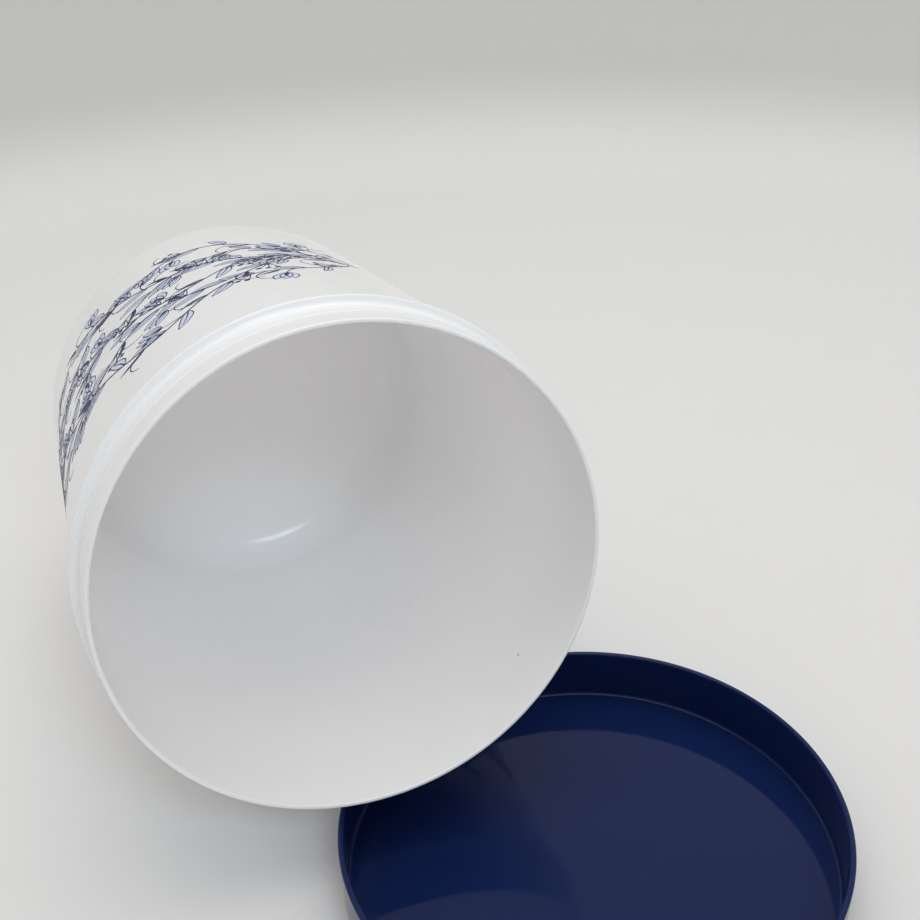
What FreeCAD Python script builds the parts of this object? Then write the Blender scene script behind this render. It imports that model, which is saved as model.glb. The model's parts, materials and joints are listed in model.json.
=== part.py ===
import FreeCAD, Part
import math
import os

# A round plastic flower box, opened: the tub lies on its side with its mouth end
# on the rim of the lid, which lies on its top, open side up.
# Millimetres, +Z up. The tub's axis runs along Y and its mouth looks towards -Y.

# Lid, a shallow round cap
lid_radius = 80.0         # outside, at the open rim
lid_height = 20.5
lid_wall = 1.9            # at the rim
lid_top = 1.5             # thickness of the flat top
lid_draft = 0.4           # the outside is this much narrower at the top
lid_rim_round = 0.6
lid_inner_round = 1.0     # where the skirt meets the top, inside

# Tub, a tall cup with a neck that the lid pushes over
tub_height = 195.0
tub_wall = 2.0            # side wall at the base
tub_floor = 2.0           # thickness of the bottom
tub_draft = 2.6           # the outside is this much narrower at the base than under the ring
base_round = 12.0         # outside corner between side wall and bottom
lip_wall = 1.3            # neck wall at the mouth
lip_round = 0.5
ring_width = 2.6          # stop ring that the closed lid comes down to
ring_proud = 1.6          # how far the ring stands out of the side wall
ring_round = 0.5
neck_root_round = 1.4     # hollow corner between neck and ring

# Snap bead around the neck
bead_below_lip = 9.5
bead_width = 3.4
bead_slope = 1.1
bead_proud = 0.3
bead_round = 1.0

# Underside of the tub
foot_height = 1.0         # the bottom is recessed this far inside the foot ring
foot_width = 5.0
foot_round = 0.4
gate_radius = 3.0         # moulding mark in the middle of the recess
gate_height = 0.4
gate_round = 0.15

# Fits between the two pieces
neck_clearance = 0.8      # between neck and lid skirt
seam_gap = 0.5            # between the closed lid's rim and the ring
rest_clearance = 0.3      # between the lying tub and the lid's rim

# Where the mouth's centre lies, measured from the lid's centre
mouth_x = -57.5
mouth_y = 36.8

# Sizes that follow
lid_bore = lid_radius - lid_wall
lid_depth = lid_height - lid_top
lid_top_radius = lid_radius - lid_draft
neck_radius = lid_bore - neck_clearance
neck_height = lid_depth + seam_gap
lip_bore = neck_radius - lip_wall
ring_top = tub_height - neck_height
ring_bottom = ring_top - ring_width
wall_top_radius = lid_radius - ring_proud
wall_base_radius = wall_top_radius - tub_draft
floor_top = foot_height + tub_floor
floor_bore = wall_base_radius - tub_wall
foot_radius = wall_base_radius - base_round
recess_radius = foot_radius - foot_width

STEEPEST_TILT = 40.0
RIM_SAMPLES = 1440
TILT_STEPS = 50


def corner_arc(before, corner, after, radius):
    """Tangent arc that rounds a corner: its first point, middle point and last point."""
    to_before = (before - corner).normalize()
    to_after = (after - corner).normalize()
    half_angle = to_before.getAngle(to_after) / 2
    run = radius / math.tan(half_angle)
    bisector = (to_before + to_after).normalize()
    centre = corner + bisector * (radius / math.sin(half_angle))
    return corner + to_before * run, centre - bisector * radius, corner + to_after * run


def turned_solid(outline):
    """Solid turned about Z from a closed outline of (radius, height, corner round) points."""
    corners = [FreeCAD.Vector(radius, 0, height) for radius, height, _ in outline]
    edges = []
    stretches = []
    for index, (_, _, corner_round) in enumerate(outline):
        corner = corners[index]
        if corner_round == 0:
            stretches.append((corner, corner))
            continue
        before = corners[index - 1]
        after = corners[(index + 1) % len(corners)]
        first, middle, last = corner_arc(before, corner, after, corner_round)
        edges.append(Part.Arc(first, middle, last).toShape())
        stretches.append((first, last))
    for index, (first, _) in enumerate(stretches):
        edges.append(Part.LineSegment(stretches[index - 1][1], first).toShape())
    wire = Part.Wire(Part.__sortEdges__(edges))
    return Part.Face(wire).revolve(FreeCAD.Vector(), FreeCAD.Vector(0, 0, 1), 360)


def make_lid():
    """The cap standing on its top, with its open side up."""
    outer_round = lid_inner_round + lid_top
    return turned_solid([
        (0, 0, 0),
        (lid_top_radius, 0, outer_round),
        (lid_radius, lid_height, lid_rim_round),
        (lid_bore, lid_height, lid_rim_round),
        (lid_bore, lid_top, lid_inner_round),
        (0, lid_top, 0),
    ])


def make_tub():
    """The cup standing on its base, with its mouth up."""
    bead_top = tub_height - bead_below_lip
    bead_bottom = bead_top - bead_width
    inner_round = base_round - tub_wall
    return turned_solid([
        (0, foot_height - gate_height, 0),
        (gate_radius, foot_height - gate_height, gate_round),
        (gate_radius, foot_height, gate_round),
        (recess_radius, foot_height, foot_round),
        (recess_radius + foot_height, 0, foot_round),
        (wall_base_radius, 0, base_round),
        (wall_top_radius, ring_bottom, ring_round),
        (lid_radius, ring_bottom, ring_round),
        (lid_radius, ring_top, ring_round),
        (neck_radius, ring_top, neck_root_round),
        (neck_radius, bead_bottom, bead_round),
        (neck_radius + bead_proud, bead_bottom + bead_slope, bead_round),
        (neck_radius + bead_proud, bead_top - bead_slope, bead_round),
        (neck_radius, bead_top, bead_round),
        (neck_radius, tub_height, lip_round),
        (lip_bore, tub_height, lip_round),
        (floor_bore, floor_top, inner_round),
        (0, floor_top, 0),
    ])


def outside_radius(height):
    """The tub's outside radius at a height over its base, left square at the bottom corner."""
    if height > ring_top:
        return neck_radius
    if height > ring_bottom:
        return lid_radius
    return wall_base_radius + tub_draft * height / ring_bottom


def base_centre(tilt):
    """Centre of the base when the tub lies on its bottom corner, with its mouth tilted up."""
    slope = tub_draft / ring_bottom
    tube_radius = wall_base_radius + base_round * (slope - math.hypot(1, slope))
    lift = tube_radius * math.cos(tilt) + base_round * (1 - math.sin(tilt))
    return FreeCAD.Vector(mouth_x, mouth_y + tub_height * math.cos(tilt), lift)


def mouth_direction(tilt):
    return FreeCAD.Vector(0, -math.cos(tilt), math.sin(tilt))


def rim_gap(tilt):
    """Least distance from the lid's rim to the tub that lies over it."""
    centre = base_centre(tilt)
    axis = mouth_direction(tilt)
    gap = lid_radius
    for step in range(RIM_SAMPLES):
        turn = 2 * math.pi * step / RIM_SAMPLES
        rim_x = lid_radius * math.cos(turn)
        rim_y = lid_radius * math.sin(turn)
        offset = FreeCAD.Vector(rim_x, rim_y, lid_height) - centre
        height = offset.dot(axis)
        if 0 <= height <= tub_height:
            from_axis = (offset - axis * height).Length
            gap = min(gap, from_axis - outside_radius(height))
    return gap


def resting_tilt():
    """Tilt at which the tub's side comes down to the lid's rim, found by halving."""
    low = 0.0
    high = math.radians(STEEPEST_TILT)
    for _ in range(TILT_STEPS):
        middle = (low + high) / 2
        if rim_gap(middle) > rest_clearance:
            high = middle
        else:
            low = middle
    return high


def lay_down(tub):
    """Turns the standing tub on its side and sets it on the table and the lid's rim."""
    tilt = resting_tilt()
    turn = FreeCAD.Rotation(FreeCAD.Vector(1, 0, 0), 90 - math.degrees(tilt))
    laid = tub.copy()
    laid.Placement = FreeCAD.Placement(base_centre(tilt), turn)
    print("tilt", math.degrees(tilt), "base centre", base_centre(tilt))
    return laid


def centred_on_table(pieces):
    """The pieces moved together, so that the origin is the middle of their box on the table."""
    box = Part.makeCompound(list(pieces.values())).optimalBoundingBox(False)
    shift = FreeCAD.Vector(box.Center.x, box.Center.y, box.ZMin)
    print("origin shift", shift)
    moved = {}
    for name, piece in pieces.items():
        moved[name] = piece.translated(-shift)
    return moved


os.makedirs("parts", exist_ok=True)
assembly = centred_on_table({"tub": lay_down(make_tub()), "lid": make_lid()})
for node, shape in assembly.items():
    shape.exportStep(f"parts/{node}.step")
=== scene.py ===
import json
import math

import bpy
from mathutils import Matrix, Vector


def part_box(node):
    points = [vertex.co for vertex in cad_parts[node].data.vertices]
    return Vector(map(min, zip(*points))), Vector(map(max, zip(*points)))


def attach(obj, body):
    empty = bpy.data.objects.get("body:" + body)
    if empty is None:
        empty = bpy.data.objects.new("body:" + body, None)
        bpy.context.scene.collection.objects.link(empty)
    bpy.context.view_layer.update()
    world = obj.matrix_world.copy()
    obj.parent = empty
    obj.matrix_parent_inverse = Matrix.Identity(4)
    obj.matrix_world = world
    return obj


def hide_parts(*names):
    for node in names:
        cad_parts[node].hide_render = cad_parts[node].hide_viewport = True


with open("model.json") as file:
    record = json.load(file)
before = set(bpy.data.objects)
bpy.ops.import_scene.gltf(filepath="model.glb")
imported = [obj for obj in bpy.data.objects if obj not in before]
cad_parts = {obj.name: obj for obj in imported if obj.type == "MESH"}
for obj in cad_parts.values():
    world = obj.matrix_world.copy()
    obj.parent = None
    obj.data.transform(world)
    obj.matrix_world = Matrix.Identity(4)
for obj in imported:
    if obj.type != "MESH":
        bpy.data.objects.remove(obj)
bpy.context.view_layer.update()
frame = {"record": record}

# A white plastic flower box, opened: the printed tub lies on its side with its mouth end
# on the rim of the navy lid. Sizes are millimetres and angles are degrees, unless a name
# or a comment says otherwise.
MM = 0.001
HAIR = 0.001                # less than any real distance on the box

# Lid, a shallow round cap
LID_WALL = 1.9              # at the rim
LID_TOP = 1.5               # thickness of the flat top
LID_DRAFT = 0.4             # the outer radius is this much less at the top
LID_RIM_ROUND = 0.85
LID_INNER_ROUND = 1.0       # where the skirt meets the top, inside

# Tub, a tall cup with a neck that the lid pushes over
TUB_HEIGHT = 195.0
TUB_WALL = 2.0              # side wall at the base
TUB_FLOOR = 2.0             # thickness of the bottom
TUB_DRAFT = 2.6             # the outer radius is this much less at the base than under the ring
BASE_ROUND = 12.0           # corner between side wall and bottom, outside
INNER_BASE_ROUND = 15.0     # the same corner, inside
LIP_WALL = 1.3              # neck wall at the mouth
LIP_ROUND = 0.5
RING_WIDTH = 2.6            # stop ring that the closed lid comes down to
RING_PROUD = 1.6            # how far the ring stands out of the side wall
RING_ROUND = 0.5
NECK_ROOT_ROUND = 1.4       # hollow corner between neck and ring
NECK_CLEARANCE = 0.8        # between neck and lid skirt
SEAM_GAP = 0.5              # between the closed lid's rim and the ring

# Snap bead around the neck
BEAD_BELOW_LIP = 9.5
BEAD_WIDTH = 3.4
BEAD_SLOPE = 1.1            # height of its upper and lower slope
BEAD_PROUD = 0.3
BEAD_ROUND = 1.0

# Underside of the tub
FOOT_HEIGHT = 1.0           # the bottom is recessed this far inside the foot ring
FOOT_WIDTH = 5.0
FOOT_ROUND = 0.4
GATE_RADIUS = 3.0           # moulding mark in the middle of the recess
GATE_HEIGHT = 0.4
GATE_ROUND = 0.15

# Sizes that follow
lid_low, lid_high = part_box("lid")
LID_HEIGHT = (lid_high.z - lid_low.z) / MM
LID_RADIUS = round((lid_high.x - lid_low.x) / 2 / MM, 1)
LID_BORE = LID_RADIUS - LID_WALL
NECK_RADIUS = LID_BORE - NECK_CLEARANCE
RING_TOP = TUB_HEIGHT - (LID_HEIGHT - LID_TOP + SEAM_GAP)
RING_BOTTOM = RING_TOP - RING_WIDTH
WALL_TOP_RADIUS = LID_RADIUS - RING_PROUD
WALL_BASE_RADIUS = WALL_TOP_RADIUS - TUB_DRAFT
FOOT_RADIUS = WALL_BASE_RADIUS - BASE_ROUND
RECESS_RADIUS = FOOT_RADIUS - FOOT_WIDTH
FLOOR_TOP = FOOT_HEIGHT + TUB_FLOOR

# How finely the turned pieces are divided
TURN_STEPS = 288
ROUND_STEPS = 7

# Print on the side wall: panels of trailing vine, drawn in pen and washed with a pale tint
PANELS = 2
PANEL_MIDDLE = -34.0        # around the tub, from its upper side
PANEL_WIDTH = 164.0
PANEL_FOOT = 36.0           # heights over the base
PANEL_TOP = 147.0
INK_FOOT = -0.02            # the films start this far inside the wall's surface
TINT_LIFT = 0.02            # and reach this far out of it
INK_LIFT = 0.035
INK_CUTS = 0                # cuts across a stroke: the wide ones have to follow the round wall
TINT_CUTS = 3

# Pen strokes: their widths, and how finely each is divided
FINE_LINE = 0.42
STALK_LINE = 0.67
BERRY_LINE = 0.55
TENDRIL_LINE = 0.63
PEN_TAPER = 0.5             # share of its width that a line loses on its way
LEAF_TIP = 0.12
LEAF_FULLNESS = 0.8         # a smaller power gives a fuller leaf
LEAF_STEPS = 10
DARK_STEPS = 9
PETAL_STEPS = 9
STALK_STEPS = 7
HEART_STEPS = 6
BERRY_STEPS = 6
TENDRIL_STEPS = 14

# Vines
VINES = 6
VINE_STEPS = 96
VINE_LINE = 0.9
VINE_END = 0.4              # share of that width at both ends
VINE_MARGIN = 7.24          # left free over and under the vines' lanes
VINE_GATHER = 0.55          # a smaller power makes the vines spread sooner
VINE_WAVES = 2.5
VINE_SWING = 7.5            # of a wave, to each side
VINE_SHORTENING = 0.06      # vines differ in length by up to twice this share of the panel's width
VINE_SHIFT = 5.0
SWING_TURN = 2.6            # radians from one vine to the next, so that neighbours differ
LENGTH_TURN = 2.3
SHIFT_TURN = 1.9

# What grows from a vine: angles are from the vine's direction
LEAF_LENGTH = 14.0
LEAF_WIDTH = 4.2
LEAF_WIDEST = 0.4           # share of the way along the leaf
LEAF_ANGLE = 46.0
LEAF_BEND = -34.0
LEAF_EVERY = 5              # steps along the vine
FIRST_LEAF = 3              # the step that it grows from
LEAF_SMALLEST = 0.55        # share of the size, at the vine's ends
LEAF_GROWTH = 0.5           # added to it halfway along
DARK_EVERY = 3              # every third leaf is filled dark
DARK_LENGTH = 0.8           # shares of a pale leaf's
DARK_WIDTH = 0.5
RIB_LENGTH = 0.8            # share of the leaf's
BUDS = 4                    # on each vine
BUD_STARTS = (0.35, 0.65)   # where the first one grows, as a share of the gap, on even and odd vines
BUD_ANGLE = 30.0
BUD_BEND = 40.0
BUD_STALK = 8.0
PETAL_LENGTH = 10.0
PETAL_WIDTH = 4.0
PETAL_WIDEST = 0.5
PETAL_FAN = 26.0
PETAL_CLOSING = 0.6         # share of the fan that the petals bend back
HEART_LENGTH = 6.0
HEART_WIDTH = 1.6
HEART_WIDEST = 0.35
BERRY_STALKS = 5            # on each vine
BERRY_STARTS = (0.7, 0.3)
BERRY_ANGLE = 58.0
BERRY_BEND = -30.0
BERRY_STALK = 7.7
BERRY_FORK = 24.0
BERRY_WIDTH = 2.2
BERRY_WIDEST = 0.5
TENDRILS = 7                # on each vine
TENDRIL_START = 0.5
TENDRIL_ANGLE = 12.0
TENDRIL_BEND = 150.0
TENDRIL_LENGTH = 17.0

# White plastic
POLYPROPYLENE_IOR = 1.49
WHITE_TONES = ("#f8f8f8", "#fbfbfb")
WHITE_FLOW = 22.0                # patches of the flow mottle
WHITE_ROUGHNESS = (0.16, 0.24)
WHITE_GLOSS_PATCH = 9.0          # patches with more and less gloss
SKIN_GRAIN = 0.9                 # coarser than the real skin, so that it shows
SKIN_DEPTH = 0.02
SKIN_STRENGTH = 0.12
SCUFF_TONE = "#e4e4e6"
SCUFF_WIDTH = 1.5
SCUFF_TURN = (0.5, 0.2, 0.6)     # radians
SCUFF_STRETCH = (1, 0.1, 1)      # ten times as long as wide
SCUFF_LEVELS = (0.54, 0.68)      # of the noise: where a scuff begins, and where it is full
SCUFF_STRENGTH = 0.16
HANDLED_PATCH = 48.0             # scuffs lie in patches of this size
HANDLED_LEVELS = (0.58, 0.70)
SPECK_TONE = "#a3a09d"
SPECK_CELL = 24.0                # distance between places where a speck can lie
SPECK_CORE = 0.43                # radii: full in the core, gone at the edge
SPECK_EDGE = 0.77
SPECK_SHARE = 0.17               # of the cells

# Navy plastic
NAVY_TONES = ("#132456", "#15275a")
NAVY_FLOW = 30.0                 # patches of the flow mottle
NAVY_ROUGHNESS = (0.05, 0.09)
NAVY_GLOSS_PATCH = 14.0          # patches with more and less gloss
NAVY_MIRROR = 0.24               # 0.5 is what the IOR alone gives
WAVER_WIDTH = 16.0               # gentle waves that bend the reflections
WAVER_DEPTH = 0.05
WAVER_STRENGTH = 0.25
DUST_TONE = "#5b6488"
DUST_CELL = 9.0
DUST_CORE = 0.155
DUST_EDGE = 0.17
DUST_SHARE = 0.12

# Inks
NAVY_INK = ("#1e2860", "#10184a")
PALE_INK = ("#e5eaf8", "#c9d4f0")
INK_PATCH = 1.6                  # patches where the ink is thin or full
INK_ROUGHNESS = 0.4
INK_MIRROR = 0.15                # likewise

# Studio: a round paper sweep, three lamps and a room
SWEEP_FLOOR = 620.0              # radius of the flat part
SWEEP_ROUND = 280.0
SWEEP_HEIGHT = 760.0
FLOOR_TONES = ("#edeceb", "#efeeed")
# Painted shade: the paper is painted darker where it rises as a backdrop, in place of the shade that the
# lamps don't give it
BACKDROP_PAINTED_SHADE = "#cdccca"
BACKDROP_RISE = 70.0             # the height at which the floor's tone has become the backdrop's
PAPER_FIBRE = 60.0               # patches of the fibre mottle, coarse enough to show
PAPER_ROUGHNESS = 0.7
OVERHEAD_PLACE = Vector((140, 50, 1500)) * MM
OVERHEAD_SIZE = 1100.0
OVERHEAD_WATTS = 6.2
OVERHEAD_COLOUR = "#fff7ee"
FRONT_PLACE = Vector((40, -1420, 1320)) * MM  # behind the camera, and over it
FRONT_TARGET = Vector((0, 0, 80)) * MM
FRONT_SIZE = 500.0
FRONT_WATTS = 8.4
FRONT_COLOUR = "#cfe8ff"
FILL_DEPTH = 13.0                # below the mouth
FILL_SIZE = 60.0
FILL_WATTS = 0.0078
FILL_COLOUR = "#ffeadd"
ROOM_COLOUR = "#ffffff"
ROOM_STRENGTH = 0.625
LIGHT_BOUNCES = 16               # light goes to and fro many times between the tub's white walls

# Camera, as the photograph was taken
CAMERA_PLACE = Vector((-97.5, -327.9, 310.2)) * MM
CAMERA_HEADING = 19.57           # from +Y towards +X
CAMERA_PITCH = 30.0              # below the horizon
CAMERA_ROLL = 2.85               # clockwise
CAMERA_NEAREST = 10.0            # nothing nearer is drawn
PHOTO_WIDTH = 920                # pixels
FOCAL_PIXELS = 1220
SENSOR_WIDTH = 36


def linear(hex_code):
    """Linear colour of an sRGB hex value."""
    channels = []
    for start in (1, 3, 5):
        level = int(hex_code[start:start + 2], 16) / 255
        channels.append(level / 12.92 if level <= 0.04045 else ((level + 0.055) / 1.055) ** 2.4)
    return (*channels, 1.0)


def add(tree, kind, inputs=None, **settings):
    """Adds a node with its settings, and sets or links its inputs."""
    node = tree.nodes.new(kind)
    for name, value in settings.items():
        setattr(node, name, value)
    for socket, value in (inputs or {}).items():
        if isinstance(value, bpy.types.NodeSocket):
            tree.links.new(value, node.inputs[socket])
        else:
            node.inputs[socket].default_value = value
    return node


def shape_tree(name, sockets):
    """An empty tree of shape nodes with named inputs, and its input and output sockets."""
    tree = bpy.data.node_groups.new(name, "GeometryNodeTree")
    tree.interface.new_socket("Geometry", in_out="INPUT", socket_type="NodeSocketGeometry")
    for label, kind in sockets.items():
        tree.interface.new_socket(label, in_out="INPUT", socket_type=kind)
    tree.interface.new_socket("Geometry", in_out="OUTPUT", socket_type="NodeSocketGeometry")
    return tree, tree.nodes.new("NodeGroupInput").outputs, tree.nodes.new("NodeGroupOutput").inputs


def line_mesh(name, lines, attribute):
    """Edges along lines of (x, y, value) points in mm, with the third number kept as an attribute."""
    mesh = bpy.data.meshes.new(name)
    points = []
    edges = []
    for line in lines:
        first = len(points)
        points.extend(line)
        edges.extend((first + step, first + step + 1) for step in range(len(line) - 1))
    mesh.from_pydata([(x * MM, y * MM, 0) for x, y, _ in points], edges, [])
    layer = mesh.attributes.new(attribute, "FLOAT", "POINT")
    layer.data.foreach_set("value", [value * MM for _, _, value in points])
    return mesh


def grown(name, mesh, tree, values, place):
    """The plain mesh object that a shape tree makes of a starting mesh, put in its place."""
    source = bpy.data.objects.new(name, mesh)
    bpy.context.scene.collection.objects.link(source)
    modifier = source.modifiers.new(tree.name, "NODES")
    modifier.node_group = tree
    for item in tree.interface.items_tree:
        if item.in_out == "INPUT" and item.name in values:
            modifier[item.identifier] = values[item.name]
    weighted = source.modifiers.new("flat_faces_lead", "WEIGHTED_NORMAL")
    weighted.keep_sharp = True
    evaluated = source.evaluated_get(bpy.context.evaluated_depsgraph_get())
    finished = bpy.data.meshes.new_from_object(evaluated)
    finished.transform(place)
    source.modifiers.clear()
    source.data = finished
    bpy.data.meshes.remove(mesh)
    finished.name = name
    return source


def turned_tree():
    """Turns an outline of (radius, height) points about Z, with each corner rounded."""
    tree, given, result = shape_tree("turned", {
        "Guide Radius": "NodeSocketFloat",
        "Steps": "NodeSocketInt",
        "Round Steps": "NodeSocketInt",
        "Material": "NodeSocketMaterial",
    })
    outline = add(tree, "GeometryNodeMeshToCurve", {"Mesh": given["Geometry"]})
    corner = add(tree, "GeometryNodeInputNamedAttribute", {"Name": "round"}, data_type="FLOAT")
    rounded = add(tree, "GeometryNodeFilletCurve", {
        "Curve": outline.outputs["Curve"],
        "Count": given["Round Steps"],
        "Radius": corner.outputs["Attribute"],
    }, mode="POLY")
    # A sweep adds the outline to its guide circle, with the outline's Y pointing down
    inwards = add(tree, "ShaderNodeMath", {0: given["Guide Radius"], 1: -1.0}, operation="MULTIPLY")
    shift = add(tree, "ShaderNodeCombineXYZ", {"X": inwards.outputs[0]})
    hung = add(tree, "GeometryNodeTransform", {
        "Geometry": rounded.outputs["Curve"],
        "Translation": shift.outputs["Vector"],
        "Scale": (1, -1, 1),
    })
    guide = add(tree, "GeometryNodeCurvePrimitiveCircle", {
        "Resolution": given["Steps"],
        "Radius": given["Guide Radius"],
    }, mode="RADIUS")
    swept = add(tree, "GeometryNodeCurveToMesh", {
        "Curve": guide.outputs["Curve"],
        "Profile Curve": hung.outputs["Geometry"],
    })
    # The outline's ends on the axis become one point each
    closed = add(tree, "GeometryNodeMergeByDistance", {
        "Geometry": swept.outputs["Mesh"],
        "Distance": HAIR * MM,
    })
    smooth = add(tree, "GeometryNodeSetShadeSmooth", {"Geometry": closed.outputs["Geometry"]})
    joined = add(tree, "GeometryNodeRealizeInstances", {"Geometry": smooth.outputs["Geometry"]})
    finish = add(tree, "GeometryNodeSetMaterial", {
        "Geometry": joined.outputs["Geometry"],
        "Material": given["Material"],
    })
    tree.links.new(finish.outputs["Geometry"], result["Geometry"])
    return tree


def printed_tree():
    """Lays flat pen strokes on the tub's tapered wall as thin films of ink, panel by panel."""
    tree, given, result = shape_tree("printed", {
        "Base Radius": "NodeSocketFloat",
        "Draft": "NodeSocketFloat",
        "Lift": "NodeSocketFloat",
        "Foot": "NodeSocketFloat",
        "Cuts Across": "NodeSocketInt",
        "Middle": "NodeSocketFloat",
        "Panels": "NodeSocketInt",
        "Material": "NodeSocketMaterial",
    })
    lines = add(tree, "GeometryNodeMeshToCurve", {"Mesh": given["Geometry"]})
    upright = add(tree, "GeometryNodeSetCurveNormal", {"Curve": lines.outputs["Curve"]}, mode="Z_UP")
    half_width = add(tree, "GeometryNodeInputNamedAttribute", {"Name": "half_width"}, data_type="FLOAT")
    # The nib reaches from -1 to 1, so that half the stroke's width scales it to the stroke
    nib = add(tree, "GeometryNodeCurvePrimitiveQuadrilateral", {"Width": 2.0, "Height": 2.0})
    divided_nib = add(tree, "GeometryNodeSubdivideCurve", {
        "Curve": nib.outputs["Curve"],
        "Cuts": given["Cuts Across"],
    })
    strokes = add(tree, "GeometryNodeCurveToMesh", {
        "Curve": upright.outputs["Curve"],
        "Profile Curve": divided_nib.outputs["Curve"],
        "Scale": half_width.outputs["Attribute"],
        "Fill Caps": True,
    })
    # Flat x goes around the wall, flat y up the wall, and the stroke's two faces become foot and film
    place = add(tree, "GeometryNodeInputPosition")
    flat = add(tree, "ShaderNodeSeparateXYZ", {"Vector": place.outputs["Position"]})
    on_top = add(tree, "ShaderNodeMath", {0: flat.outputs["Z"], 1: HAIR * MM}, operation="GREATER_THAN")
    film = add(tree, "ShaderNodeMapRange", {
        "Value": on_top.outputs[0],
        "To Min": given["Foot"],
        "To Max": given["Lift"],
    })
    taper = add(tree, "ShaderNodeMath", {
        0: flat.outputs["Y"],
        1: given["Draft"],
        2: given["Base Radius"],
    }, operation="MULTIPLY_ADD")
    radius = add(tree, "ShaderNodeMath", {
        0: taper.outputs[0],
        1: film.outputs["Result"],
    }, operation="ADD")
    around = add(tree, "ShaderNodeMath", {
        0: flat.outputs["X"],
        1: given["Base Radius"],
    }, operation="DIVIDE")
    angle = add(tree, "ShaderNodeMath", {
        0: given["Middle"],
        1: around.outputs[0],
    }, operation="SUBTRACT")
    sine = add(tree, "ShaderNodeMath", {0: angle.outputs[0]}, operation="SINE")
    cosine = add(tree, "ShaderNodeMath", {0: angle.outputs[0]}, operation="COSINE")
    wall_x = add(tree, "ShaderNodeMath", {
        0: radius.outputs[0],
        1: sine.outputs[0],
    }, operation="MULTIPLY")
    wall_y = add(tree, "ShaderNodeMath", {
        0: radius.outputs[0],
        1: cosine.outputs[0],
    }, operation="MULTIPLY")
    on_wall = add(tree, "ShaderNodeCombineXYZ", {
        "X": wall_x.outputs[0],
        "Y": wall_y.outputs[0],
        "Z": flat.outputs["Y"],
    })
    wrapped = add(tree, "GeometryNodeSetPosition", {
        "Geometry": strokes.outputs["Mesh"],
        "Position": on_wall.outputs["Vector"],
    })
    # One point on the axis for each panel, turned by its share of the round
    axis_points = add(tree, "GeometryNodeMeshLine", {
        "Count": given["Panels"],
        "Offset": (0, 0, 0),
    }, mode="OFFSET")
    number = add(tree, "GeometryNodeInputIndex")
    share = add(tree, "ShaderNodeMath", {0: math.tau, 1: given["Panels"]}, operation="DIVIDE")
    turn = add(tree, "ShaderNodeMath", {
        0: number.outputs["Index"],
        1: share.outputs[0],
    }, operation="MULTIPLY")
    rotation = add(tree, "ShaderNodeCombineXYZ", {"Z": turn.outputs[0]})
    panels = add(tree, "GeometryNodeInstanceOnPoints", {
        "Points": axis_points.outputs["Mesh"],
        "Instance": wrapped.outputs["Geometry"],
        "Rotation": rotation.outputs["Vector"],
    })
    joined = add(tree, "GeometryNodeRealizeInstances", {"Geometry": panels.outputs["Instances"]})
    finish = add(tree, "GeometryNodeSetMaterial", {
        "Geometry": joined.outputs["Geometry"],
        "Material": given["Material"],
    })
    tree.links.new(finish.outputs["Geometry"], result["Geometry"])
    return tree


def material_tree(name):
    """A new material, its tree, its principled shader and the object coordinates in metres."""
    material = bpy.data.materials.new(name)
    material.use_nodes = True
    tree = material.node_tree
    place = add(tree, "ShaderNodeTexCoord").outputs["Object"]
    return material, tree, tree.nodes["Principled BSDF"], place


def scale_of(size):
    """Texture scale at which a pattern's features are about this many millimetres."""
    return 1 / (size * MM)


def mottle(tree, place, tones, size, detail):
    """Colour that drifts between two tones in soft patches."""
    patches = add(tree, "ShaderNodeTexNoise", {
        "Vector": place,
        "Scale": scale_of(size),
        "Detail": detail,
    })
    first, second = tones
    drift = add(tree, "ShaderNodeMix", {
        "Factor": patches.outputs["Fac"],
        "A": linear(first),
        "B": linear(second),
    }, data_type="RGBA")
    return drift.outputs["Result"]


def specks(tree, place, cell, core, edge, share):
    """Where small round specks lie: each is about the point of a cell, and only a share of the
    cells has one."""
    cells = add(tree, "ShaderNodeTexVoronoi", {"Vector": place, "Scale": scale_of(cell)})
    near_point = add(tree, "ShaderNodeMapRange", {
        "Value": cells.outputs["Distance"],
        "From Min": core / cell,
        "From Max": edge / cell,
        "To Min": 1.0,
        "To Max": 0.0,
    })
    pick = add(tree, "ShaderNodeSeparateColor", {"Color": cells.outputs["Color"]})
    chosen = add(tree, "ShaderNodeMath", {0: pick.outputs["Red"], 1: share}, operation="LESS_THAN")
    speck = add(tree, "ShaderNodeMath", {
        0: near_point.outputs["Result"],
        1: chosen.outputs[0],
    }, operation="MULTIPLY")
    return speck.outputs[0]


def scuffs(tree, place):
    """Where short scuffs lie, in patches, from what was taken out and put back."""
    along = add(tree, "ShaderNodeMapping", {
        "Vector": place,
        "Rotation": SCUFF_TURN,
        "Scale": SCUFF_STRETCH,
    })
    streaks = add(tree, "ShaderNodeTexNoise", {
        "Vector": along.outputs["Vector"],
        "Scale": scale_of(SCUFF_WIDTH),
        "Detail": 2.0,
    })
    streak = add(tree, "ShaderNodeMapRange", {
        "Value": streaks.outputs["Fac"],
        "From Min": SCUFF_LEVELS[0],
        "From Max": SCUFF_LEVELS[1],
    })
    handled = add(tree, "ShaderNodeTexNoise", {
        "Vector": place,
        "Scale": scale_of(HANDLED_PATCH),
        "Detail": 1.0,
    })
    patch = add(tree, "ShaderNodeMapRange", {
        "Value": handled.outputs["Fac"],
        "From Min": HANDLED_LEVELS[0],
        "From Max": HANDLED_LEVELS[1],
        "To Max": SCUFF_STRENGTH,
    })
    scuff = add(tree, "ShaderNodeMath", {
        0: streak.outputs["Result"],
        1: patch.outputs["Result"],
    }, operation="MULTIPLY")
    return scuff.outputs[0]


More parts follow.
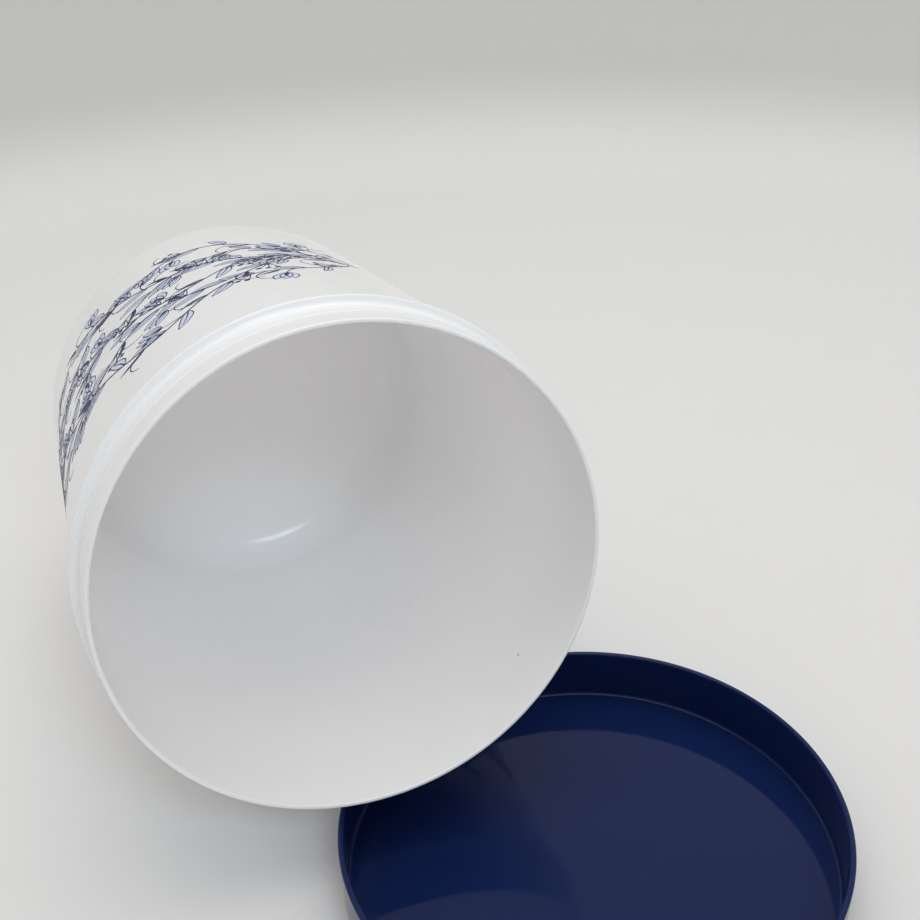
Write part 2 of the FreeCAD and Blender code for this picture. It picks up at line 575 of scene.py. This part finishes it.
def uneven_gloss(tree, place, roughness, size):
    """Roughness that drifts between two values in patches."""
    patches = add(tree, "ShaderNodeTexNoise", {
        "Vector": place,
        "Scale": scale_of(size),
        "Detail": 4.0,
    })
    rough = add(tree, "ShaderNodeMapRange", {
        "Value": patches.outputs["Fac"],
        "To Min": roughness[0],
        "To Max": roughness[1],
    })
    return rough.outputs["Result"]


def relief(tree, place, size, detail, strength, depth):
    """Normals of a surface that is uneven by a depth, over bumps of a size."""
    bumps = add(tree, "ShaderNodeTexNoise", {
        "Vector": place,
        "Scale": scale_of(size),
        "Detail": detail,
    })
    bump = add(tree, "ShaderNodeBump", {
        "Height": bumps.outputs["Fac"],
        "Strength": strength,
        "Distance": depth * MM,
    })
    return bump.outputs["Normal"]


def white_polypropylene():
    """Injection-moulded white polypropylene: satin from a polished tool, with a faint flow mottle,
    a fine skin that softens reflections, a few dust specks and light scuffs from handling."""
    material, tree, shader, place = material_tree("polypropylene_white_moulded")
    scuffed = add(tree, "ShaderNodeMix", {
        "Factor": scuffs(tree, place),
        "A": mottle(tree, place, WHITE_TONES, size=WHITE_FLOW, detail=3.0),
        "B": linear(SCUFF_TONE),
    }, data_type="RGBA")
    dusty = add(tree, "ShaderNodeMix", {
        "Factor": specks(tree, place, SPECK_CELL, SPECK_CORE, SPECK_EDGE, SPECK_SHARE),
        "A": scuffed.outputs["Result"],
        "B": linear(SPECK_TONE),
    }, data_type="RGBA")
    rough = uneven_gloss(tree, place, WHITE_ROUGHNESS, size=WHITE_GLOSS_PATCH)
    skin = relief(tree, place, size=SKIN_GRAIN, detail=2.0, strength=SKIN_STRENGTH, depth=SKIN_DEPTH)
    tree.links.new(dusty.outputs["Result"], shader.inputs["Base Color"])
    tree.links.new(rough, shader.inputs["Roughness"])
    tree.links.new(skin, shader.inputs["Normal"])
    shader.inputs["IOR"].default_value = POLYPROPYLENE_IOR
    return material


def navy_polypropylene():
    """Injection-moulded navy polypropylene from a mirror-polished tool: deep colour, sharp
    reflections that waver a little, and fine dust that shows on the dark gloss."""
    material, tree, shader, place = material_tree("polypropylene_navy_polished")
    dusty = add(tree, "ShaderNodeMix", {
        "Factor": specks(tree, place, DUST_CELL, DUST_CORE, DUST_EDGE, DUST_SHARE),
        "A": mottle(tree, place, NAVY_TONES, size=NAVY_FLOW, detail=2.0),
        "B": linear(DUST_TONE),
    }, data_type="RGBA")
    rough = uneven_gloss(tree, place, NAVY_ROUGHNESS, size=NAVY_GLOSS_PATCH)
    waver = relief(tree, place, size=WAVER_WIDTH, detail=1.0, strength=WAVER_STRENGTH, depth=WAVER_DEPTH)
    tree.links.new(dusty.outputs["Result"], shader.inputs["Base Color"])
    tree.links.new(rough, shader.inputs["Roughness"])
    tree.links.new(waver, shader.inputs["Normal"])
    shader.inputs["IOR"].default_value = POLYPROPYLENE_IOR
    shader.inputs["Specular IOR Level"].default_value = NAVY_MIRROR
    return material


def screen_ink(name, tones):
    """Screen ink on plastic: a flat film whose colour is a little uneven where it was laid thin,
    and which hardly shines, so that it stays dark where the wall turns away."""
    material, tree, shader, place = material_tree(name)
    body = mottle(tree, place, tones, size=INK_PATCH, detail=3.0)
    tree.links.new(body, shader.inputs["Base Color"])
    shader.inputs["Roughness"].default_value = INK_ROUGHNESS
    shader.inputs["Specular IOR Level"].default_value = INK_MIRROR
    return material


def sweep_paper():
    """Pale photographer's paper with a faint fibre mottle, and painted shade: it is painted darker where
    it rises as a backdrop.
    """
    material, tree, shader, place = material_tree("paper_pale_matte")
    height = add(tree, "ShaderNodeSeparateXYZ", {"Vector": place})
    # Painted shade, which deepens with height over the rise
    rise = add(tree, "ShaderNodeMapRange", {
        "Value": height.outputs["Z"],
        "From Max": BACKDROP_RISE * MM,
    }, interpolation_type="SMOOTHSTEP")
    tone = add(tree, "ShaderNodeMix", {
        "Factor": rise.outputs["Result"],
        "A": mottle(tree, place, FLOOR_TONES, size=PAPER_FIBRE, detail=4.0),
        "B": linear(BACKDROP_PAINTED_SHADE),
    }, data_type="RGBA")
    tree.links.new(tone.outputs["Result"], shader.inputs["Base Color"])
    shader.inputs["Roughness"].default_value = PAPER_ROUGHNESS
    return material


def lid_outline():
    """Half section of the cap with its open side up: radius, height and corner round."""
    return [
        (0, 0, 0),
        (LID_RADIUS - LID_DRAFT, 0, LID_INNER_ROUND + LID_TOP),
        (LID_RADIUS, LID_HEIGHT, LID_RIM_ROUND),
        (LID_BORE, LID_HEIGHT, LID_RIM_ROUND),
        (LID_BORE, LID_TOP, LID_INNER_ROUND),
        (0, LID_TOP, 0),
    ]


def tub_outline():
    """Half section of the standing cup: radius, height and corner round."""
    bead_top = TUB_HEIGHT - BEAD_BELOW_LIP
    bead_bottom = bead_top - BEAD_WIDTH
    bead_radius = NECK_RADIUS + BEAD_PROUD
    return [
        (0, FOOT_HEIGHT - GATE_HEIGHT, 0),
        (GATE_RADIUS, FOOT_HEIGHT - GATE_HEIGHT, GATE_ROUND),
        (GATE_RADIUS, FOOT_HEIGHT, GATE_ROUND),
        (RECESS_RADIUS, FOOT_HEIGHT, FOOT_ROUND),
        (RECESS_RADIUS + FOOT_HEIGHT, 0, FOOT_ROUND),
        (WALL_BASE_RADIUS, 0, BASE_ROUND),
        (WALL_TOP_RADIUS, RING_BOTTOM, RING_ROUND),
        (LID_RADIUS, RING_BOTTOM, RING_ROUND),
        (LID_RADIUS, RING_TOP, RING_ROUND),
        (NECK_RADIUS, RING_TOP, NECK_ROOT_ROUND),
        (NECK_RADIUS, bead_bottom, BEAD_ROUND),
        (bead_radius, bead_bottom + BEAD_SLOPE, BEAD_ROUND),
        (bead_radius, bead_top - BEAD_SLOPE, BEAD_ROUND),
        (NECK_RADIUS, bead_top, BEAD_ROUND),
        (NECK_RADIUS, TUB_HEIGHT, LIP_ROUND),
        (NECK_RADIUS - LIP_WALL, TUB_HEIGHT, LIP_ROUND),
        (WALL_BASE_RADIUS - TUB_WALL, FLOOR_TOP, INNER_BASE_ROUND),
        (0, FLOOR_TOP, 0),
    ]


def mount(name):
    """Place and outward axis of one of the part's resting faces."""
    found = next(m for m in frame["record"]["mounts"] if m["name"] == name)
    return Vector(found["pos_m"]), Vector(found["axis"])


def tub_place():
    """Where the standing tub goes: laid on its side, with its base square to the foot ring's axis."""
    on_foot, outwards = mount("tub_base")
    turn = Matrix.Rotation(math.pi - math.acos(outwards.z), 4, "X")
    upper_side = turn.to_3x3() @ Vector((0, 1, 0))
    foot_middle = (RECESS_RADIUS + FOOT_HEIGHT + FOOT_RADIUS) / 2 * MM
    return Matrix.Translation(on_foot - upper_side * foot_middle) @ turn


def turned(name, outline, tree, material, place):
    """A piece turned from its half section."""
    return grown(name, line_mesh(name, [outline], "round"), tree, {
        "Guide Radius": LID_RADIUS * MM,
        "Steps": TURN_STEPS,
        "Round Steps": ROUND_STEPS,
        "Material": material,
    }, place)


def pen(start, heading, length, bend, width, steps, widest=0.0):
    """A curved stroke: it sets out at a heading and turns by bend over its length. With widest
    above 0 it swells like a leaf to its width at that share of the way, and closes to a point."""
    x, y = start
    line = []
    for step in range(steps + 1):
        share = step / steps
        if widest:
            rise = share / widest if share < widest else (1 - share) / (1 - widest)
            half = max(width / 2 * math.sin(rise * math.pi / 2) ** LEAF_FULLNESS, LEAF_TIP / 2)
        else:
            half = width / 2 * (1 - PEN_TAPER * share)
        line.append((x, y, half))
        turn = math.radians(heading + bend * (share + 0.5 / steps))
        x += length / steps * math.cos(turn)
        y += length / steps * math.sin(turn)
    return line


def outline_of(leaf):
    """The fine pen line around a leaf-shaped stroke."""
    left = []
    right = []
    for index, (x, y, half) in enumerate(leaf):
        before = leaf[max(index - 1, 0)]
        after = leaf[min(index + 1, len(leaf) - 1)]
        run = math.hypot(after[0] - before[0], after[1] - before[1])
        across_x = -(after[1] - before[1]) / run
        across_y = (after[0] - before[0]) / run
        left.append((x + across_x * half, y + across_y * half, FINE_LINE / 2))
        right.append((x - across_x * half, y - across_y * half, FINE_LINE / 2))
    return left + right[::-1]


def vine_line(number):
    """A stem that waves along the panel and draws in towards the panel's middle at both ends."""
    middle = (PANEL_FOOT + PANEL_TOP) / 2
    reach = (PANEL_TOP - PANEL_FOOT) / 2 - VINE_MARGIN
    level = 2 * (number + 0.5) / VINES - 1
    length = PANEL_WIDTH * (1 - VINE_SHORTENING * (1 - math.cos(LENGTH_TURN * number)))
    shift = VINE_SHIFT * math.sin(SHIFT_TURN * number)
    line = []
    for step in range(VINE_STEPS + 1):
        share = step / VINE_STEPS
        spread = math.sin(math.pi * share) ** VINE_GATHER
        swing = VINE_SWING * math.sin(math.tau * VINE_WAVES * share + SWING_TURN * number)
        x = length * (share - 0.5) + shift
        y = middle + spread * (level * reach + swing)
        half_width = VINE_LINE / 2 * (VINE_END + (1 - VINE_END) * spread)
        line.append((x, y, half_width))
    return line


def heading_along(line, step):
    """Direction of a line at one of its points, in degrees."""
    before = line[max(step - 1, 0)]
    after = line[min(step + 1, len(line) - 1)]
    return math.degrees(math.atan2(after[1] - before[1], after[0] - before[0]))


def shoots(line, count, first):
    """Number, start and heading of shoots that stand evenly along a vine. The first one stands at
    a share of the gap between them."""
    for number in range(count):
        step = int(VINE_STEPS * (number + first) / count)
        yield number, line[step][:2], heading_along(line, step)


def side_of(number):
    """Growth alternates: 1 is the left of the vine and -1 its right."""
    return 1 if number % 2 else -1


def willow_leaf(start, heading, bend, size, dark, ink, tint):
    """A narrow leaf: filled dark, or washed pale with a pen outline and a midrib."""
    length = LEAF_LENGTH * size
    width = LEAF_WIDTH * size
    if dark:
        length *= DARK_LENGTH
        width *= DARK_WIDTH
        ink.append(pen(start, heading, length, bend, width, DARK_STEPS, LEAF_WIDEST))
        return
    leaf = pen(start, heading, length, bend, width, LEAF_STEPS, LEAF_WIDEST)
    tint.append(leaf)
    ink.append(outline_of(leaf))
    ink.append(pen(start, heading, RIB_LENGTH * length, RIB_LENGTH * bend, STALK_LINE, STALK_STEPS))


def bell_bud(start, heading, bend, ink, tint):
    """A bud on a bent stalk, with three pointed petals that open from one cup."""
    stalk = pen(start, heading, BUD_STALK, bend, STALK_LINE, STALK_STEPS)
    ink.append(stalk)
    cup = stalk[-1][:2]
    opening = heading + bend
    for fan in (-PETAL_FAN, PETAL_FAN, 0):
        closing = -PETAL_CLOSING * fan
        petal = pen(cup, opening + fan, PETAL_LENGTH, closing, PETAL_WIDTH, PETAL_STEPS, PETAL_WIDEST)
        tint.append(petal)
        ink.append(outline_of(petal))
    ink.append(pen(cup, opening, HEART_LENGTH, 0, HEART_WIDTH, HEART_STEPS, HEART_WIDEST))


def berry_stalk(start, heading, bend, ink):
    """Three round berries on a forked stalk."""
    for fork in (-BERRY_FORK, 0, BERRY_FORK):
        stalk = pen(start, heading + fork, BERRY_STALK, bend, BERRY_LINE, BERRY_STEPS)
        ink.append(stalk)
        x, y, _ = stalk[-1]
        left_edge = (x - BERRY_WIDTH / 2, y)
        ink.append(pen(left_edge, 0, BERRY_WIDTH, 0, BERRY_WIDTH, BERRY_STEPS, BERRY_WIDEST))


def trailing_vine(vine, ink, tint):
    """One waving stem with everything that grows from it, on alternate sides."""
    line = vine_line(vine)
    ink.append(line)
    for leaf, step in enumerate(range(FIRST_LEAF, VINE_STEPS - 1, LEAF_EVERY)):
        side = side_of(leaf)
        size = LEAF_SMALLEST + LEAF_GROWTH * math.sin(math.pi * step / VINE_STEPS)
        heading = heading_along(line, step) + side * LEAF_ANGLE
        dark = leaf % DARK_EVERY == 0
        willow_leaf(line[step][:2], heading, side * LEAF_BEND, size, dark, ink, tint)
    for bud, start, heading in shoots(line, BUDS, BUD_STARTS[vine % 2]):
        side = side_of(bud + vine)
        bell_bud(start, heading + side * BUD_ANGLE, side * BUD_BEND, ink, tint)
    for stalk, start, heading in shoots(line, BERRY_STALKS, BERRY_STARTS[vine % 2]):
        side = -side_of(stalk + vine)
        berry_stalk(start, heading + side * BERRY_ANGLE, side * BERRY_BEND, ink)
    for tendril, start, heading in shoots(line, TENDRILS, TENDRIL_START):
        side = side_of(tendril)
        out = heading + side * TENDRIL_ANGLE
        ink.append(pen(start, out, TENDRIL_LENGTH, side * TENDRIL_BEND, TENDRIL_LINE, TENDRIL_STEPS))


def vine_panel():
    """Ink lines and pale washes of one panel, as flat strokes: x around the wall, y up it."""
    ink = []
    tint = []
    for vine in range(VINES):
        trailing_vine(vine, ink, tint)
    return ink, tint


def printed(name, strokes, tree, material, lift, cuts):
    """A film of ink on the tub's wall."""
    return grown(name, line_mesh(name, strokes, "half_width"), tree, {
        "Base Radius": WALL_BASE_RADIUS * MM,
        "Draft": TUB_DRAFT / RING_BOTTOM,
        "Lift": lift * MM,
        "Foot": INK_FOOT * MM,
        "Cuts Across": cuts,
        "Middle": math.radians(PANEL_MIDDLE),
        "Panels": PANELS,
        "Material": material,
    }, tub_place())


def build_tub(turning):
    """The white cup, laid on its side."""
    tub = turned("tub_moulding", tub_outline(), turning, white_polypropylene(), tub_place())
    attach(tub, "tub")
    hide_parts("tub")


def build_lid(turning):
    """The navy cap, on its top."""
    middle, _ = mount("lid_top")
    on_table = Matrix.Translation(middle)
    lid = turned("lid_moulding", lid_outline(), turning, navy_polypropylene(), on_table)
    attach(lid, "lid")
    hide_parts("lid")
    return lid


def build_print():
    """The two films of ink on the tub."""
    printing = printed_tree()
    ink, tint = vine_panel()
    navy_ink = screen_ink("screen_ink_navy", NAVY_INK)
    pale_ink = screen_ink("screen_ink_pale_blue", PALE_INK)
    lines = printed("print_lines", ink, printing, navy_ink, INK_LIFT, INK_CUTS)
    tints = printed("print_tints", tint, printing, pale_ink, TINT_LIFT, TINT_CUTS)
    for film in (lines, tints):
        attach(film, "tub")


def soft_light(name, place, target, size, watts, colour):
    """A square softbox aimed at a point. The camera doesn't see it."""
    lamp = bpy.data.lights.new(name, "AREA")
    lamp.shape = "SQUARE"
    lamp.size = size * MM
    lamp.energy = watts
    lamp.color = linear(colour)[:3]
    holder = bpy.data.objects.new(name, lamp)
    holder.location = place
    holder.rotation_euler = (target - place).to_track_quat("-Z", "Y").to_euler()
    holder.visible_camera = False
    bpy.context.scene.collection.objects.link(holder)
    return holder


def keep_off(light, piece):
    """Flags a light off a piece that would mirror it."""
    flagged = bpy.data.collections.new("flagged")
    flagged.objects.link(piece)
    flagged.collection_objects[0].light_linking.link_state = "EXCLUDE"
    light.light_linking.receiver_collection = flagged


def build_sweep(turning):
    """A round floor of paper that rises to a backdrop on all sides."""
    wall = SWEEP_FLOOR + SWEEP_ROUND
    outline = [(0, 0, 0), (wall, 0, SWEEP_ROUND), (wall, SWEEP_HEIGHT, 0)]
    sweep = turned("paper_sweep", outline, turning, sweep_paper(), Matrix())


def build_lights(lid):
    """A large softbox overhead, a small one in front, a weak fill in the tub's mouth, which stands
    for the light that its thin walls let through, and a plain room."""
    table = Vector()
    soft_light("overhead", OVERHEAD_PLACE, table, OVERHEAD_SIZE, OVERHEAD_WATTS, OVERHEAD_COLOUR)
    front = soft_light("front", FRONT_PLACE, FRONT_TARGET, FRONT_SIZE, FRONT_WATTS, FRONT_COLOUR)
    keep_off(front, lid)
    laid = tub_place()
    in_mouth = laid @ Vector((0, 0, (TUB_HEIGHT - FILL_DEPTH) * MM))
    fill = soft_light("fill", in_mouth, laid.translation, FILL_SIZE, FILL_WATTS, FILL_COLOUR)
    fill.data.shape = "DISK"
    fill.visible_glossy = False
    room = bpy.data.worlds.new("room")
    room.use_nodes = True
    background = room.node_tree.nodes["Background"]
    background.inputs["Color"].default_value = linear(ROOM_COLOUR)
    background.inputs["Strength"].default_value = ROOM_STRENGTH
    bpy.context.scene.world = room
    bpy.context.scene.cycles.max_bounces = LIGHT_BOUNCES
    bpy.context.scene.cycles.diffuse_bounces = LIGHT_BOUNCES


def build_camera():
    """The camera where the photographer stood."""
    lens = bpy.data.cameras.new("camera")
    lens.sensor_width = SENSOR_WIDTH
    lens.lens = SENSOR_WIDTH * FOCAL_PIXELS / PHOTO_WIDTH
    lens.clip_start = CAMERA_NEAREST * MM
    camera = bpy.data.objects.new("camera", lens)
    bpy.context.scene.collection.objects.link(camera)
    heading = Matrix.Rotation(math.radians(-CAMERA_HEADING), 4, "Z")
    pitch = Matrix.Rotation(math.radians(90 - CAMERA_PITCH), 4, "X")
    roll = Matrix.Rotation(math.radians(-CAMERA_ROLL), 4, "Z")
    camera.matrix_world = Matrix.Translation(CAMERA_PLACE) @ heading @ pitch @ roll
    bpy.context.scene.camera = camera


turning = turned_tree()
build_tub(turning)
lid = build_lid(turning)
build_print()
build_sweep(turning)
build_lights(lid)
build_camera()
bpy.context.scene.view_settings.view_transform = "Standard"
